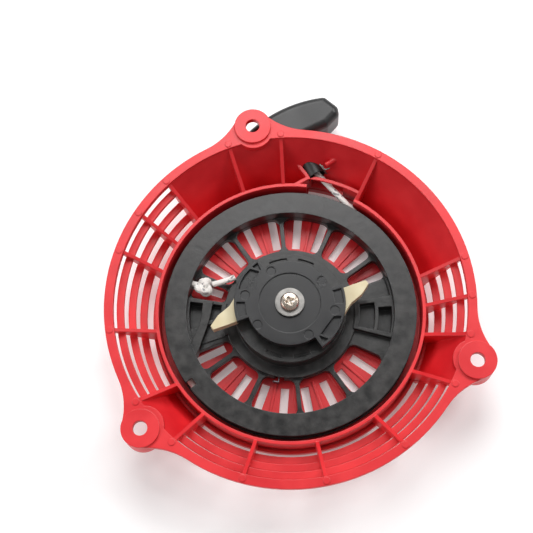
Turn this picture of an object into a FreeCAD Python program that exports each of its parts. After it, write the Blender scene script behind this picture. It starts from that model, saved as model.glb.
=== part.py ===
import FreeCAD, Part
import Sketcher
import math
import os

# Recoil starter. Millimetres, +Z towards the engine, the reel turns about Z,
# and the case's outer front face lies on z = 0.

doc = FreeCAD.newDocument("recoil_starter")
sheet = doc.addObject("Spreadsheet::Sheet", "Sizes")

SIZES = {
    # case
    "rim_radius": 102.8, "rim_width": 5.0, "rim_thickness": 4.0, "flange_height": 37.5,
    "plate_thickness": 2.5, "plate_radius": 79.4, "kerb_height": 4.6, "kerb_width": 1.6,
    "wall_foot_radius": 78.4, "wall_thickness": 2.8,
    "ring_wall_radius": 76.6, "ring_wall_thickness": 1.9, "ring_wall_height": 19.5,
    "rib_thickness": 2.0, "rib_mark_radius": 1.9, "rib_mark_rise": 0.35,
    "bulge_radius": 82.0, "bulge_start": 58.5, "bulge_end": 80.5, "bulge_ramp": 5.5,
    "louvre_drop": 7.7, "louvre_pitch": 9.3, "louvre_width": 4.1, "louvre_height": 2.4,
    "slot_inner_radius": 41.8, "slot_outer_radius": 64.0, "slot_width": 4.7, "slot_phase": 263.6,
    "plate_rib_width": 1.3, "plate_rib_rise": 0.7,
    # mounting lugs
    "bolt_circle_radius": 106.8, "lug_angle": 99.4, "lug_radius": 10.5, "lug_rise": 1.5,
    "lug_depth": 17.0, "lug_short_depth": 11.0, "lug_collar": 2.4, "lug_flank_radius": 38.0,
    "bolt_hole_radius": 4.0, "lug_floor": 3.8,
    "lug_recess_radius": 7.6,
    # post and its screw
    "post_radius": 7.5, "post_foot_radius": 12.0, "post_foot_height": 10.0, "post_neck_radius": 5.4,
    "post_shoulder": 28.0, "post_top": 33.2, "insert_radius": 4.0, "insert_length": 16.0,
    "insert_bore_radius": 2.6, "screw_radius": 2.5, "screw_length": 16.0, "screw_head_radius": 5.2,
    "screw_head_height": 3.0, "washer_radius": 8.2, "washer_thickness": 1.5, "washer_bore_radius": 3.2,
    "running_gap": 0.1,
    # reel
    "reel_radius": 71.5, "reel_bottom": 4.6, "reel_top": 17.5, "reel_flange": 1.8,
    "groove_radius": 61.0, "drum_wall": 2.0, "hub_radius": 37.7, "hub_floor": 3.8, "hub_ring_top": 12.0,
    "chamber_radius": 34.0, "chamber_roof": 10.2, "cup_radius": 31.5, "cup_wall": 2.2, "cup_top": 23.4,
    "cup_plate": 2.2, "sleeve_radius": 11.5, "sleeve_top": 24.0,
    "spoke_width": 2.4, "spoke_height": 4.3, "spoke_phase": 3.3, "window_corner": 4.2,
    "side_window_corner": 3.2,
    "notch_angle": 215.0, "notch_width": 4.4, "notch_depth": 4.2,
    # rope
    "rope_radius": 1.75, "rope_wind_radius": 68.9, "coil_radius": 66.8, "rope_clearance": 0.2,
    "rope_height": 11.0, "rope_layer_turn": 192.0, "knot_radius": 5.7, "knot_angle": 160.6,
    "knot_tail": 12.5,
    # ratchets and guide
    "ratchet_pivot_x": -23.5, "ratchet_pivot_y": 8.0, "ratchet_boss_radius": 4.8,
    "ratchet_thickness": 5.8, "ratchet_clearance": 0.15, "ratchet_back_radius": 30.0,
    "stub_radius": 2.4, "stub_depth": 8.5, "peg_radius": 1.6, "peg_x": -27.25, "peg_y": -2.86,
    "peg_height": 1.7, "platform_radius": 6.2, "ratchet_tip_x": -44.5, "ratchet_tip_y": -10.5,
    "guide_thickness": 4.2, "guide_radius": 24.2, "guide_lobe_radius": 31.0, "guide_recess_radius": 17.2,
    "guide_recess_depth": 0.6, "guide_skirt_radius": 12.2, "guide_skirt_wall": 1.4, "guide_skirt": 2.6,
    "cam_slot_clearance": 0.3, "cam_slot_depth": 1.8, "guide_back_turn": 3.0,
    "guide_out_turn": 14.0, "ratchet_ratio": 1.5,
    # springs
    "friction_wire_radius": 0.6, "friction_coil_radius": 9.2, "thrust_washer_thickness": 0.9,
    "thrust_washer_radius": 11.2, "spring_strip": 0.6, "spring_width": 6.4, "spring_inner": 13.4,
    "hook_angle": 258.5, "hook_reach": 40.2,
    "return_wire_radius": 0.4, "return_coil_radius": 3.4,
    # rope guide and grip
    "guide_axis_angle": 114.0, "outlet_azimuth": 78.5, "outlet_height": 16.5,
    "outlet_boss_radius": 8.4, "outlet_boss_length": 9.0, "bush_radius": 5.5, "bush_inner_end": 3.6,
    "bush_lip": 0.8, "bush_bore": 2.3, "peg_pin_radius": 1.4, "clip_wire_radius": 0.45,
    "grip_reach": 41.0, "grip_half_width": 29.3, "grip_depth": 22.4, "grip_height": 21.6,
    "grip_bow": 4.3, "grip_stem_radius": 6.6, "grip_stem_length": 7.9, "grip_pocket_radius": 5.4,
    "grip_pocket_depth": 12.0, "grip_round": 4.6, "grip_end_round": 3.4,
    "saddle_thickness": 1.2, "grip_knot_radius": 4.4,
}

LOUVRE_ROWS = 3
FRONT_SLOTS = 24
LUGS = 3
# Ribs of the case, and the stretches where its sloped wall is closed, by angle about Z.
RIB_ANGLES = [-54.5, -81.0, -106.5, -131.0, -148.0, -172.8, 160.5, 146.5, 132.5, 108.5, 90.8, 57.5,
              12.5, -0.5, -13.2, -29.8]
CLOSED_WALLS = [(12.0, 133.0), (-148.8, -130.2), (-30.6, -12.4)]
# Reel windows between its spokes, and the two anchor blocks, by angle from the spoke phase.
REEL_WINDOWS = [(30 * k, 30 * (k + 1)) for k in (1, 2, 3, 4, 7, 8, 9, 10)]
SIDE_WINDOWS = [(150.0, 166.0), (196.0, 210.0), (15.0, 30.0)]
# Arc recesses in the top of the hub, by angle about Z.
HUB_RECESSES = [(60.0, 78.5), (91.5, 112.0), (240.0, 258.5), (271.5, 292.0)]
# Corners of the arm on the reel's left anchor block, as depth in from the drum wall and angle.
ARM_CORNERS = [(8.7, 171.5), (14.5, 169.5), (12.2, 185.0), (3.5, 200.0), (-0.8, 204.0),
               (-0.8, 196.5), (7.5, 184.0)]
SPRING_HALF_TURNS = 18
RETURN_SPRING_TURNS = 4


class Size:
    """A number together with the spreadsheet expression that gives it."""

    def __init__(self, value, text):
        self.value = float(value)
        self.text = text

    def _join(self, other, sign, value):
        other = as_size(other)
        return Size(value(self.value, other.value), "(%s %s %s)" % (self.text, sign, other.text))

    def __add__(self, other):
        return self._join(other, "+", lambda a, b: a + b)

    def __radd__(self, other):
        return as_size(other) + self

    def __sub__(self, other):
        return self._join(other, "-", lambda a, b: a - b)

    def __rsub__(self, other):
        return as_size(other) - self

    def __mul__(self, other):
        return self._join(other, "*", lambda a, b: a * b)

    def __rmul__(self, other):
        return as_size(other) * self

    def __truediv__(self, other):
        return self._join(other, "/", lambda a, b: a / b)

    def __neg__(self):
        return as_size(0) - self


def as_size(number):
    return number if isinstance(number, Size) else Size(number, repr(float(number)))


for row, (alias, number) in enumerate(SIZES.items(), start=1):
    sheet.set("A%d" % row, alias)
    sheet.set("B%d" % row, str(number))
    sheet.setAlias("B%d" % row, alias)
doc.recompute()


class Sheet:
    """Reads a size by its name: D.rim_radius."""

    def __getattr__(self, alias):
        return Size(sheet.get(alias), "Sizes." + alias)


D = Sheet()

rim_inner = D.rim_radius - D.rim_width
wall_shoulder = D.flange_height - 1.2


def wall_radius(height):
    """Inner radius of the sloped wall at a height."""
    rise = wall_shoulder - D.plate_thickness
    return D.wall_foot_radius + (rim_inner - D.wall_foot_radius) * (height - D.plate_thickness) / rise


outlet_radius = wall_radius(D.outlet_height) + 0.4
ring_wall_inner = D.ring_wall_radius - D.ring_wall_thickness
lug_top = D.flange_height + D.lug_rise
ratchet_bottom = D.cup_top + D.ratchet_clearance
ratchet_top = ratchet_bottom + D.ratchet_thickness
guide_bottom = ratchet_top + D.ratchet_clearance
guide_top = guide_bottom + D.guide_thickness
guide_recess = guide_top - D.guide_recess_depth
sleeve_bottom = D.post_foot_height + D.running_gap
cup_inside = D.cup_top - D.cup_plate
spring_bottom = D.chamber_roof - D.spring_width - 0.6


def bind(item, prop, size):
    """Sets a property and ties it to the sheet."""
    size = as_size(size)
    item.setExpression(prop, size.text)


def turn_about_z(item, angle):
    item.Placement = FreeCAD.Placement(FreeCAD.Vector(), FreeCAD.Rotation(FreeCAD.Vector(0, 0, 1), 0))
    bind(item, "Placement.Rotation.Angle", angle)


def cylinder(name, radius, bottom, top, x=0, y=0):
    item = doc.addObject("Part::Cylinder", name)
    bind(item, "Radius", radius)
    bind(item, "Height", as_size(top) - bottom)
    bind(item, "Placement.Base.x", x)
    bind(item, "Placement.Base.y", y)
    bind(item, "Placement.Base.z", bottom)
    return item


def sector(name, radius, bottom, top, start, end):
    """A solid pie slice from angle start to angle end."""
    item = cylinder(name, radius, bottom, top)
    bind(item, "Angle", as_size(end) - start)
    bind(item, "Placement.Rotation.Angle", start)
    return item


def fuse(name, items):
    item = doc.addObject("Part::MultiFuse", name)
    item.Shapes = items
    return item


def cut(name, base, tool):
    item = doc.addObject("Part::Cut", name)
    item.Base = base
    item.Tool = tool
    return item


def common(name, base, tool):
    item = doc.addObject("Part::Common", name)
    item.Base = base
    item.Tool = tool
    return item


def ring(name, inner, outer, bottom, top):
    return cut(name, cylinder(name + "_outer", outer, bottom, top),
               cylinder(name + "_inner", inner, as_size(bottom) - 1, as_size(top) + 1))


def ring_sector(name, inner, outer, bottom, top, start, end):
    return cut(name, sector(name + "_outer", outer, bottom, top, start, end),
               cylinder(name + "_inner", inner, as_size(bottom) - 1, as_size(top) + 1))


def origin_plane(body, role):
    return [item for item in body.Origin.OriginFeatures if item.Role == role][0]


def outline_sketch(body, name, role, points):
    """A closed outline whose corners are bound to the sheet."""
    sketch = body.newObject("Sketcher::SketchObject", name)
    sketch.AttachmentSupport = [(origin_plane(body, role), "")]
    sketch.MapMode = "FlatFace"
    corners = [FreeCAD.Vector(as_size(a).value, as_size(b).value, 0) for a, b in points]
    count = len(corners)
    for index in range(count):
        sketch.addGeometry(Part.LineSegment(corners[index], corners[(index + 1) % count]))
    for index in range(count):
        sketch.addConstraint(Sketcher.Constraint("Coincident", index, 2, (index + 1) % count, 1))
    for index, pair in enumerate(points):
        for kind, coordinate in zip(("DistanceX", "DistanceY"), pair):
            coordinate = as_size(coordinate)
            number = sketch.addConstraint(
                Sketcher.Constraint(kind, -1, 1, index, 1, coordinate.value))
            sketch.setExpression("Constraints[%d]" % number, coordinate.text)
    return sketch


def new_body(name):
    return doc.addObject("PartDesign::Body", name)


def add_revolution(body, name, points):
    """Turns an outline in the r-z plane about Z."""
    sketch = outline_sketch(body, name + "_outline", "XZ_Plane", points)
    feature = body.newObject("PartDesign::Revolution", name)
    feature.Profile = sketch
    feature.ReferenceAxis = (sketch, ["V_Axis"])
    feature.Angle = 360
    return feature


def add_pad(body, name, points, bottom, top):
    """Raises an outline in the x-y plane from bottom to top."""
    sketch = outline_sketch(body, name + "_outline", "XY_Plane", points)
    bind(sketch, "AttachmentOffset.Base.z", bottom)
    feature = body.newObject("PartDesign::Pad", name)
    feature.Profile = sketch
    bind(feature, "Length", as_size(top) - bottom)
    return feature


def add_polar(body, name, feature, count):
    pattern = body.newObject("PartDesign::PolarPattern", name)
    pattern.Originals = [feature]
    pattern.Axis = (origin_plane(body, "Z_Axis"), [""])
    pattern.Angle = 360
    pattern.Occurrences = count
    body.Tip = pattern
    return pattern


def feature(name, shape):
    item = doc.addObject("Part::Feature", name)
    item.Shape = shape
    return item


def spot(x, y, z=0.0):
    return FreeCAD.Vector(as_size(x).value, as_size(y).value, as_size(z).value)


def polar(radius, angle, z=0.0):
    angle = math.radians(as_size(angle).value)
    radius = as_size(radius).value
    return FreeCAD.Vector(radius * math.cos(angle), radius * math.sin(angle), as_size(z).value)


def rounded_route(points, radii):
    """Straight runs joined by tangent arcs, one radius for each inner point."""
    edges = []
    start = points[0]
    for index, radius in enumerate(radii, start=1):
        corner = points[index]
        before = (points[index - 1] - corner).normalize()
        after = (points[index + 1] - corner).normalize()
        turn = math.pi - before.getAngle(after)
        reach = radius * math.tan(turn / 2)
        first = corner + before * reach
        last = corner + after * reach
        middle = (before + after).normalize()
        bulge = radius / math.cos(turn / 2) - radius
        edges.append(Part.LineSegment(start, first).toShape())
        edges.append(Part.Arc(first, corner + middle * bulge, last).toShape())
        start = last
    edges.append(Part.LineSegment(start, points[-1]).toShape())
    return Part.Wire(edges)


def tube(route, radius):
    """A round tube along a route."""
    first = route.Edges[0]
    start = first.valueAt(first.FirstParameter)
    along = first.tangentAt(first.FirstParameter)
    circle = Part.Wire(Part.makeCircle(radius, start, along))
    return route.makePipeShell([circle], True, False)


# ---------------------------------------------------------------- the case

def front_plate():
    """The slotted front, with a fine rib along each bar between its slots."""
    body = new_body("front_plate")
    add_revolution(body, "front_disc", [
        (0, 0), (D.plate_radius, 0), (D.plate_radius, D.kerb_height),
        (D.plate_radius - D.kerb_width, D.kerb_height), (D.plate_radius - D.kerb_width, D.plate_thickness),
        (0, D.plate_thickness)])
    half = D.plate_rib_width / 2
    rib = add_pad(body, "front_rib", [
        (D.slot_inner_radius - 2, -half), (D.slot_outer_radius + 3, -half),
        (D.slot_outer_radius + 3, half), (D.slot_inner_radius - 2, half)],
        D.plate_thickness - 1, D.plate_thickness + D.plate_rib_rise)
    add_polar(body, "front_ribs", rib, FRONT_SLOTS)
    turn_about_z(body, D.slot_phase + 180.0 / FRONT_SLOTS)
    slots = new_body("front_slots")
    half = D.slot_width / 2
    slot = add_pad(slots, "front_slot", [
        (D.slot_inner_radius, -half), (D.slot_outer_radius, -half),
        (D.slot_outer_radius, half), (D.slot_inner_radius, half)], -1, D.plate_thickness + 1)
    add_polar(slots, "front_slot_ring", slot, FRONT_SLOTS)
    turn_about_z(slots, D.slot_phase)
    return body, slots


def closed_wall(index, start, end):
    """A stretch of the sloped wall between the front plate and the rim."""
    body = new_body("closed_wall_%d" % index)
    add_revolution(body, "wall_%d" % index, [
        (D.wall_foot_radius - 1.5, 0), (D.wall_foot_radius + D.wall_thickness, 0),
        (D.wall_foot_radius + D.wall_thickness, D.plate_thickness),
        (rim_inner + D.wall_thickness, wall_shoulder), (rim_inner, wall_shoulder),
        (D.wall_foot_radius, D.plate_thickness), (D.wall_foot_radius - 1.5, D.plate_thickness)])
    slice_item = sector("wall_slice_%d" % index, D.rim_radius + 5, -1, D.flange_height + 1, start, end)
    return common("wall_panel_%d" % index, body, slice_item)


def louvres():
    """Stepped bars that close the vented stretches against fingers and let air in."""
    bars = []
    edges = sorted(CLOSED_WALLS)
    vents = [(edges[k][1], edges[(k + 1) % len(edges)][0]) for k in range(len(edges))]
    for row in range(LOUVRE_ROWS):
        top = D.flange_height - D.louvre_drop - D.louvre_pitch * row
        outer = wall_radius(top) + D.wall_thickness
        for column, (start, end) in enumerate(vents):
            end = end if end > start else end + 360
            bars.append(ring_sector("louvre_%d_%d" % (row, column), outer - D.louvre_width, outer,
                                    top - D.louvre_height, top, start - 0.4, end + 0.4))
    return bars


def case_rib(index, angle):
    """A rib from the ring wall out to the rim, with the round mark at its outer end."""
    rib = doc.addObject("Part::Wedge", "case_rib_%d" % index)
    half = D.rib_thickness / 2
    for prop, size in (("Xmin", -half), ("Xmax", half), ("X2min", -half), ("X2max", half),
                       ("Ymin", D.ring_wall_radius - 0.8), ("Ymax", rim_inner + 1),
                       ("Zmin", 0.4), ("Zmax", D.ring_wall_height - 0.4),
                       ("Z2min", D.flange_height - D.rim_thickness + 0.3),
                       ("Z2max", D.flange_height - 0.6)):
        bind(rib, prop, size)
    turn_about_z(rib, angle - 90)
    centre = polar(D.rim_radius - D.rim_width / 2, angle)
    mark = cylinder("rib_mark_%d" % index, D.rib_mark_radius, D.flange_height - 1,
                    D.flange_height + D.rib_mark_rise)
    outward = D.rim_radius - D.rim_width / 2
    bind(mark, "Placement.Base.x", outward * math.cos(math.radians(angle)))
    bind(mark, "Placement.Base.y", outward * math.sin(math.radians(angle)))
    return [rib, mark]


def lug(index):
    """A mounting lug: web with hollow flanks, boss and collar, bolt hole and the recess under its floor."""
    rim = D.rim_radius.value
    flank = D.lug_flank_radius.value
    radius = D.lug_radius.value
    circle = D.bolt_circle_radius.value
    spread = math.acos((circle ** 2 + (rim + flank) ** 2 - (radius + flank) ** 2)
                       / (2 * circle * (rim + flank)))
    angle = math.radians(D.lug_angle.value + 360.0 / LUGS * index)
    middle = FreeCAD.Vector(circle * math.cos(angle), circle * math.sin(angle), 0)
    sides = [FreeCAD.Vector((rim + flank) * math.cos(angle + turn), (rim + flank) * math.sin(angle + turn), 0)
             for turn in (-spread, spread)]
    bottom = D.flange_height.value - D.rim_thickness.value
    centre = FreeCAD.Vector()
    web = Part.Face(Part.makePolygon([centre, sides[0], middle, sides[1], centre]))
    web.translate(FreeCAD.Vector(0, 0, bottom))
    web = web.extrude(FreeCAD.Vector(0, 0, D.rim_thickness.value))
    for side in sides:
        web = web.cut(Part.makeCylinder(flank, 100, side))
    web = web.cut(Part.makeCylinder(rim_inner.value + 1, 100))
    web_item = feature("lug_web_%d" % index, web)
    x = D.bolt_circle_radius * math.cos(angle)
    y = D.bolt_circle_radius * math.sin(angle)
    depth = D.lug_short_depth if index == 0 else D.lug_depth
    boss = cylinder("lug_boss_%d" % index, D.lug_radius, lug_top - depth, lug_top, x, y)
    inward = D.bolt_circle_radius - D.lug_collar
    collar = cylinder("lug_collar_%d" % index, D.lug_radius + 0.4, D.flange_height - D.rim_thickness,
                      D.flange_height, inward * math.cos(angle), inward * math.sin(angle))
    hole = cylinder("bolt_hole_%d" % index, D.bolt_hole_radius, 0, lug_top + 1, x, y)
    recess = cylinder("lug_recess_%d" % index, D.lug_recess_radius, -1, lug_top - D.lug_floor, x, y)
    return [web_item, boss, collar], [hole, recess]


def outlet_axis():
    """Where the rope leaves the case, and the direction of the pull."""
    place = polar(outlet_radius, D.outlet_azimuth, D.outlet_height)
    return place, polar(1, D.guide_axis_angle)


def axis_cylinder(name, radius, start, end):
    """A cylinder along the pull direction, from start to end past the rope outlet."""
    place, pull = outlet_axis()
    shape = Part.makeCylinder(as_size(radius).value, end - start, place + pull * start, pull)
    return feature(name, shape)


def clip_pin_ends():
    place, pull = outlet_axis()
    return place + spot(6.6, -0.4, 8.9), place + spot(13.8, 3.5, 9.2)


def rope_outlet():
    """The boss round the rope outlet, its bore, and the pin that holds the clip."""
    length = D.outlet_boss_length.value
    inside = doc.addObject("Part::Cone", "outlet_inside")
    bind(inside, "Radius1", D.wall_foot_radius)
    bind(inside, "Radius2", rim_inner)
    bind(inside, "Height", wall_shoulder - D.plate_thickness)
    bind(inside, "Placement.Base.z", D.plate_thickness)
    boss = cut("outlet_boss", axis_cylinder("outlet_round", D.outlet_boss_radius, -6.5, length), inside)
    bore = axis_cylinder("outlet_bore", D.bush_radius + D.running_gap / 2,
                         -D.bush_inner_end.value - 1.0, length + 30)
    tip, root = clip_pin_ends()
    pin = feature("clip_pin", Part.makeCylinder(D.peg_pin_radius.value, (root - tip).Length, tip,
                                                root - tip))
    return [boss, pin], [bore]


def ring_wall():
    """The wall round the reel, with the bulge that the rope runs through."""
    low = D.plate_thickness - 1
    wall = ring("ring_wall", ring_wall_inner, D.ring_wall_radius, low, D.ring_wall_height)
    opening = sector("bulge_opening", D.ring_wall_radius + 2, D.plate_thickness, D.ring_wall_height + 1,
                     D.bulge_start, D.bulge_end)
    plain = cut("plain_ring_wall", wall, opening)
    inner = D.bulge_radius - D.ring_wall_thickness
    half = math.degrees(D.ring_wall_thickness.value / D.ring_wall_radius.value)
    bulge = ring_sector("bulge_wall", inner, D.bulge_radius, low, D.ring_wall_height,
                        D.bulge_start - half, D.bulge_end)
    side = ring_sector("bulge_side", ring_wall_inner, D.bulge_radius, low, D.ring_wall_height,
                       D.bulge_start - half, D.bulge_start)
    floor = sector("bulge_floor", D.bulge_radius, 0, D.plate_thickness, D.bulge_start - half, D.bulge_end + 1)
    thick = D.ring_wall_thickness.value
    near = polar(D.ring_wall_radius - D.ring_wall_thickness / 2, D.bulge_end + D.bulge_ramp)
    far = polar(D.bulge_radius - D.ring_wall_thickness / 2, D.bulge_end - 0.3)
    across = (far - near).normalize().cross(FreeCAD.Vector(0, 0, 1)) * (thick / 2)
    ramp = Part.Face(Part.makePolygon([near - across, far - across, far + across, near + across,
                                       near - across]))
    ramp.translate(FreeCAD.Vector(0, 0, low.value))
    ramp = feature("bulge_ramp", ramp.extrude(FreeCAD.Vector(0, 0, (D.ring_wall_height - low).value)))
    rib_end = polar(91.5, 86.2)
    rib_side = (rib_end - far).normalize().cross(FreeCAD.Vector(0, 0, 1)) * (thick / 2)
    brace = Part.Face(Part.makePolygon([far - rib_side, rib_end - rib_side, rib_end + rib_side,
                                        far + rib_side, far - rib_side]))
    brace.translate(FreeCAD.Vector(0, 0, D.plate_thickness.value))
    brace = feature("bulge_brace", brace.extrude(
        FreeCAD.Vector(0, 0, (D.ring_wall_height - D.plate_thickness).value)))
    window = ring_sector("rope_window", ring_wall_inner - 2, D.bulge_radius + 1, D.plate_thickness + 4.5,
                         D.ring_wall_height - 1.2, D.bulge_start + 6.5, D.bulge_end - 1.5)
    slot = ring_sector("bulge_slot", D.ring_wall_radius - 0.8, D.bulge_radius - D.ring_wall_thickness - 0.4,
                       -1, D.kerb_height + 0.4, D.bulge_start + 1, D.bulge_end - 0.5)
    return [plain, bulge, side, floor, ramp, brace], [window, slot]


def radial_box(name, inner, outer, left, right, bottom, top, angle):
    """A box along the ray at an angle, from radius inner to outer, left to right across the ray."""
    item = doc.addObject("Part::Box", name)
    bind(item, "Length", as_size(outer) - inner)
    bind(item, "Width", as_size(right) - left)
    bind(item, "Height", as_size(top) - bottom)
    turn = FreeCAD.Rotation(FreeCAD.Vector(0, 0, 1), as_size(angle).value)
    item.Placement = FreeCAD.Placement(turn.multVec(spot(inner, left, bottom)), turn)
    bind(item, "Placement.Base.z", bottom)
    return item


def post():
    """The post that the reel turns on."""
    foot = cylinder("post_foot", D.post_foot_radius, D.plate_thickness - 1, D.post_foot_height)
    shaft = cylinder("post_shaft", D.post_radius, D.plate_thickness - 1, D.post_shoulder)
    neck = cylinder("post_neck", D.post_neck_radius, D.plate_thickness - 1, D.post_top)
    bore = cylinder("post_bore", D.insert_radius, D.post_top - D.insert_length - 1, D.post_top + 1)
    slot = radial_box("spring_slot", D.post_foot_radius - 4, D.post_foot_radius + 1, -0.35,
                      D.spring_strip + 0.35, spring_bottom - 0.3, D.post_foot_height + 1, D.hook_angle)
    return [foot, shaft, neck], [bore, slot]


def starter_case():
    plate, plate_slots = front_plate()
    wall_items, wall_cuts = ring_wall()
    post_items, post_cuts = post()
    outlet_items, outlet_cuts = rope_outlet()
    rim = ring("rim", rim_inner, D.rim_radius, D.flange_height - D.rim_thickness, D.flange_height)
    solids = [plate, rim] + wall_items + post_items + outlet_items + louvres()
    cuts = [plate_slots] + wall_cuts + post_cuts + outlet_cuts
    for index, (start, end) in enumerate(CLOSED_WALLS):
        solids.append(closed_wall(index, start, end))
    for index, angle in enumerate(RIB_ANGLES):
        solids += case_rib(index, angle)
    for index in range(LUGS):
        lug_items, lug_cuts = lug(index)
        solids += lug_items
        cuts += lug_cuts
    return cut("starter_case", fuse("case_solids", solids), fuse("case_cuts", cuts))


# ------------------------------------------------- insert, screw and washers

def post_insert():
    return ring("post_insert", D.insert_bore_radius, D.insert_radius, D.post_top - D.insert_length,
                D.post_top)


def screw_washer():
    return ring("screw_washer", D.washer_bore_radius, D.washer_radius, D.post_top,
                D.post_top + D.washer_thickness)


def center_screw():
    """Pan-head screw with a cross recess."""
    seat = D.post_top + D.washer_thickness
    body = new_body("screw_turned")
    crown = D.screw_head_height * 0.55
    add_revolution(body, "screw_profile", [
        (0, D.post_top - D.screw_length + 1.5), (D.screw_radius - 0.7, D.post_top - D.screw_length + 1.5),
        (D.screw_radius, D.post_top - D.screw_length + 2.5), (D.screw_radius, seat),
        (D.screw_head_radius, seat), (D.screw_head_radius, seat + crown),
        (D.screw_head_radius * 0.86, seat + D.screw_head_height * 0.84),
        (D.screw_head_radius * 0.5, seat + D.screw_head_height),
        (0, seat + D.screw_head_height)])
    arms = []
    for index, angle in enumerate((20.0, 110.0)):
        arm = doc.addObject("Part::Box", "recess_arm_%d" % index)
        bind(arm, "Length", D.screw_head_radius)
        bind(arm, "Width", D.screw_head_radius * 0.26)
        bind(arm, "Height", D.screw_head_height)
        middle = FreeCAD.Rotation(FreeCAD.Vector(0, 0, 1), angle).multVec(
            spot(-D.screw_head_radius / 2, -D.screw_head_radius * 0.13))
        arm.Placement = FreeCAD.Placement(middle, FreeCAD.Rotation(FreeCAD.Vector(0, 0, 1), angle))
        bind(arm, "Placement.Base.z", seat + D.screw_head_height * 0.2)
        arms.append(arm)
    return cut("center_screw", body, fuse("cross_recess", arms))


def thrust_washer():
    bottom = D.sleeve_top + D.running_gap
    return ring("thrust_washer", D.post_radius + D.running_gap, D.thrust_washer_radius, bottom,
                bottom + D.thrust_washer_thickness)


def friction_spring():
    """Coil spring between the thrust washer and the guide."""
    low = (D.sleeve_top + D.running_gap + D.thrust_washer_thickness + D.friction_wire_radius).value + 0.05
    high = (guide_bottom - D.friction_wire_radius).value - 0.05
    turns = 2.0
    helix = Part.makeHelix((high - low) / turns, high - low, D.friction_coil_radius.value)
    circle = Part.Wire(Part.makeCircle(D.friction_wire_radius.value,
                                       spot(D.friction_coil_radius, 0), FreeCAD.Vector(0, 1, 0)))
    shape = Part.Wire(helix).makePipeShell([circle], True, True)
    item = feature("friction_spring", shape)
    item.Placement = FreeCAD.Placement(FreeCAD.Vector(0, 0, low), FreeCAD.Rotation())
    return item


# ---------------------------------------------------------------- the reel

def window_shape(start, end):
    """A rounded opening between two spokes, from the hub ring to the drum."""
    corner = D.window_corner.value if end - start > 20 else D.side_window_corner.value
    half = D.spoke_width.value / 2 + corner
    inner = D.hub_radius.value + 0.4 + corner
    outer = (D.groove_radius - D.drum_wall).value - 0.15 - corner
    phase = D.spoke_phase.value
    points = []
    for radius in (inner, outer):
        lean = math.degrees(math.asin(half / radius))
        pair = [polar(radius, phase + start + lean), polar(radius, phase + end - lean),
                polar(radius, phase + (start + end) / 2)]
        points.append(pair)
    (inner_start, inner_end, inner_middle), (outer_start, outer_end, outer_middle) = points
    edges = [Part.Arc(inner_start, inner_middle, inner_end).toShape(),
             Part.LineSegment(inner_end, outer_end).toShape(),
             Part.Arc(outer_end, outer_middle, outer_start).toShape(),
             Part.LineSegment(outer_start, inner_start).toShape()]
    face = Part.Face(Part.Wire(edges)).makeOffset2D(corner)
    face.translate(FreeCAD.Vector(0, 0, D.hub_floor.value - 1))
    return face.extrude(FreeCAD.Vector(0, 0, D.reel_top.value))


def anchor_block(side, start, end):
    """The block that the rope's inner end can pass through, hollowed into open pockets."""
    phase = D.spoke_phase + side
    low = D.reel_bottom
    top = D.hub_ring_top + 1
    name = "anchor_%d" % side
    block = ring_sector(name, D.hub_radius - 1, D.groove_radius - 1, low, top, phase + start, phase + end)
    pocket = ring_sector(name + "_pocket", D.hub_radius + 12.5, D.groove_radius - D.drum_wall - 1.2,
                         low + 1.2, top + 1, phase + start + 2.5, phase + start + 18)
    small = ring_sector(name + "_small", D.hub_radius + 1.8, D.hub_radius + 10.5, low + 3.5, top + 1,
                        phase + start + 2.5, phase + end - 14)
    step = ring_sector(name + "_step", D.hub_radius + 1.8, D.groove_radius - D.drum_wall - 1.2, low + 5.5,
                       top + 1, phase + end - 11, phase + end + 1)
    return block, [pocket, small, step]


def anchor_arm():
    """The raised arm on the left block, from beside the hub down to the drum wall."""
    corners = [(D.groove_radius - D.drum_wall - radius, angle) for radius, angle in ARM_CORNERS]
    body = new_body("anchor_arm")
    points = [(reach * math.cos(math.radians(angle)), reach * math.sin(math.radians(angle)))
              for reach, angle in corners]
    add_pad(body, "anchor_arm_pad", points, D.reel_bottom + 1, D.hub_ring_top + 2.2)
    return body


def ratchet_place(side):
    """The pivot of the left ratchet (side 0) or the right one (side 180)."""
    sign = 1 if side == 0 else -1
    return D.ratchet_pivot_x * sign, D.ratchet_pivot_y * sign


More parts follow.
